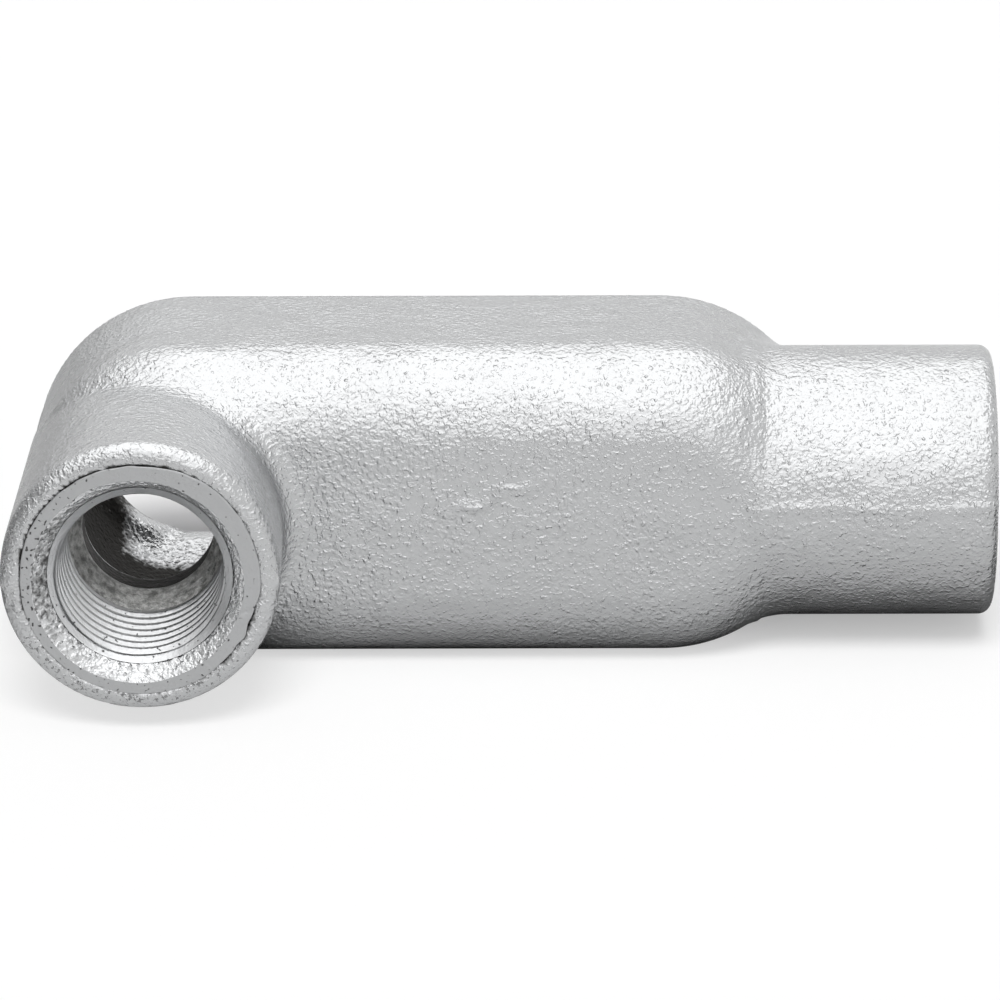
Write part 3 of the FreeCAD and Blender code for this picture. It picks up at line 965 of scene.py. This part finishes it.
# Painted shadow: the card turns grey round the spot that the back hub's bore looks out on.
from_spot = add(tree, "VectorMath", {0: at, 1: SHADOW_SPOT}, operation="DISTANCE")
clear = add(tree, "MapRange", {"Value": from_spot.outputs["Value"], "From Min": 0.008, "From Max": 0.020})
paper_with_painted_shadow = add(tree, "Mix", {"Factor": clear.outputs["Result"], 6: linear("#CFCFD0"), 7: linear("#F8F8F8")},
            data_type="RGBA")
shaded = add(tree, "BsdfDiffuse", {"Color": paper_with_painted_shadow.outputs[2]})
bright = add(tree, "Emission", {"Color": (1, 1, 1, 1), "Strength": 1.0})
lift = add(tree, "MapRange", {"Value": place.outputs["Y"], "From Min": 0.0, "From Max": 0.03,
                              "To Min": 0.65, "To Max": 0.0})
lifted = add(tree, "MixShader", {0: lift.outputs["Result"], 1: shaded.outputs[0], 2: bright.outputs[0]})
straight = add(tree, "LightPath").outputs["Is Camera Ray"]
both_ways = add(tree, "MixShader", {0: straight, 1: mirrored.outputs[0], 2: lifted.outputs[0]})
add(tree, "OutputMaterial", {"Surface": both_ways.outputs[0]})
print("card's mirrored tone goes from", DARK, "beside the part to", round(LIGHT + FAR, 2), "further out")

# %% [markdown]
# The table itself is one flat face, large enough to fill the view from a little above. The frame is
# told that it is the stage, so that it isn't counted as a piece of the part.

# %% Table
CARD_HALF = 3.0                         # metres
floor_mesh = bpy.data.meshes.new("floor")
floor_mesh.from_pydata([(x * CARD_HALF, y * CARD_HALF, 0) for x, y in ((-1, -1), (1, -1), (1, 1), (-1, 1))],
                       [], [(0, 1, 2, 3)])
floor = bpy.data.objects.new("floor", floor_mesh)
bpy.context.scene.collection.objects.link(floor)
floor.data.materials.append(card)
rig.stage(floor)
print("table", 2 * CARD_HALF, "m square")

# %% [markdown]
# A pale room stands round the table. As plain light it is kept low, so that the lamps give the part
# its form. To the eye and in mirrors it is a wall that is dim low down on the left and bright high up
# on the right, because a silver surface under one even white would show no form at all.

# %% Room
ROOM_LIGHT, ROOM_DIM, ROOM_BRIGHT = 0.46, 0.22, 0.82
WHITE = (1, 1, 1, 1)
world = bpy.data.worlds.new("white surround")
bpy.context.scene.world = world
world.use_nodes = True
tree = world.node_tree
tree.nodes.clear()
ray = add(tree, "LightPath")
looked_at = add(tree, "Math", {0: ray.outputs["Is Camera Ray"], 1: ray.outputs["Is Glossy Ray"]},
                operation="MAXIMUM")
looked_at = add(tree, "Math", {0: looked_at.outputs[0], 1: ray.outputs["Is Transmission Ray"]},
                operation="MAXIMUM")
toward = add(tree, "SeparateXYZ", {0: add(tree, "TexCoord").outputs["Generated"]})
high = add(tree, "Math", {0: toward.outputs["Z"], 1: 0.9, 2: toward.outputs["X"]}, operation="MULTIPLY_ADD")
shown = add(tree, "MapRange", {"Value": high.outputs[0], "From Min": -0.80, "From Max": -0.10,
                               "To Min": ROOM_DIM, "To Max": ROOM_BRIGHT})
wall = add(tree, "Background", {"Color": WHITE, "Strength": shown.outputs["Result"]})
light = add(tree, "Background", {"Color": WHITE, "Strength": ROOM_LIGHT})
room = add(tree, "MixShader", {0: looked_at.outputs[0], 1: light.outputs[0], 2: wall.outputs[0]})
add(tree, "OutputWorld", {"Surface": room.outputs[0]})
print("room lights at", ROOM_LIGHT, "and shows", ROOM_DIM, "to", ROOM_BRIGHT)

# %% [markdown]
# A silver surface shows its surroundings, so the size and place of the lamps matter more than their
# power. One wide soft panel overhead is the white band along the back, and a lower one in front fills
# the side. Neither gives plain light: they only show in mirrors. The plain light comes from one broad
# key lamp that mirrors don't show, so light and mirror image can be set apart.

# %% Lamps
def soft_panel(name, width, length, radiance, place, tilt=0.0):
    """Flat panel that gives no plain light; its power is radiance times pi times its area."""
    lamp = bpy.data.lights.new(name, "AREA")
    lamp.shape, lamp.size, lamp.size_y = "RECTANGLE", width, length
    lamp.energy = radiance * math.pi * width * length
    panel = bpy.data.objects.new(name, lamp)
    panel.location, panel.rotation_euler = place, (math.radians(tilt), 0, 0)
    panel.visible_diffuse = False
    bpy.context.scene.collection.objects.link(panel)
    return lamp


overhead = soft_panel("soft lamp", 1.0, 1.5, 0.88, (0.0, 0.0, 0.7))
front = soft_panel("front panel", 1.0, 0.62, 0.55, (0.0, -0.94, 0.52), tilt=61)

KEY_LIGHT, KEY_HIGH = 0.62, 50          # light on a level card; height in degrees
key = bpy.data.lights.new("key", "SUN")
key.energy, key.angle = KEY_LIGHT * math.pi / math.sin(math.radians(KEY_HIGH)), math.radians(24)
key_object = bpy.data.objects.new("key", key)
key_object.rotation_euler = (math.radians(90 - KEY_HIGH), 0, 0)
key_object.visible_glossy = False
bpy.context.scene.collection.objects.link(key_object)
print("overhead", round(overhead.energy, 2), "W, front", round(front.energy, 2), "W, key",
      round(key.energy, 2), "W/m2")

# %% [markdown]
# The camera stands well back with a long lens and looks a little down, so the part's sides stay almost
# parallel and its lengths can be compared. Its three axes are worked out from height, turn and roll,
# and it stands back along its own axis from the point it looks at, in the middle of the part.

# %% Camera
HEIGHT, TURNED, ROLL = math.radians(18.485), math.radians(0.260), math.radians(-0.228)
LOOK_AT, STAND_BACK = [39.391, 0.0, -2.381], 0.7469     # mm about the hub axes; metres
back = np.array([math.sin(TURNED) * math.cos(HEIGHT), -math.cos(TURNED) * math.cos(HEIGHT),
                 math.sin(HEIGHT)])
right = np.array([math.cos(TURNED), math.sin(TURNED), 0.0])
up = np.cross(back, right)
right, up = right * math.cos(ROLL) + up * math.sin(ROLL), up * math.cos(ROLL) - right * math.sin(ROLL)
stand = np.eye(4)
stand[:3] = np.stack([right, up, back, to_row(LOOK_AT) + back * STAND_BACK], 1)

camera_data = bpy.data.cameras.new("camera")
camera_data.lens, camera_data.sensor_width, camera_data.clip_start = 234.61, 36.0, 0.05
camera = bpy.data.objects.new("camera", camera_data)
camera.matrix_world = Matrix(stand.tolist())
bpy.context.scene.collection.objects.link(camera)
bpy.context.scene.camera = camera
bpy.context.scene.view_settings.view_transform = "Standard"
print("camera at", [round(v, 4) for v in camera.matrix_world.translation])

# %% [markdown]
# Last, the box that the dressed part fills is written down beside the box of the drawn casting. The two should agree
# to a fraction of a millimetre.

# %% Sizes kept
size_of = lambda box: [[round(float(v), 6) for v in corner] for corner in box]
with open("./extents.json", "w") as out:
    json.dump({"cad": size_of(cad_box), "visual": size_of(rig.bounds())}, out)
print(open("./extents.json").read())
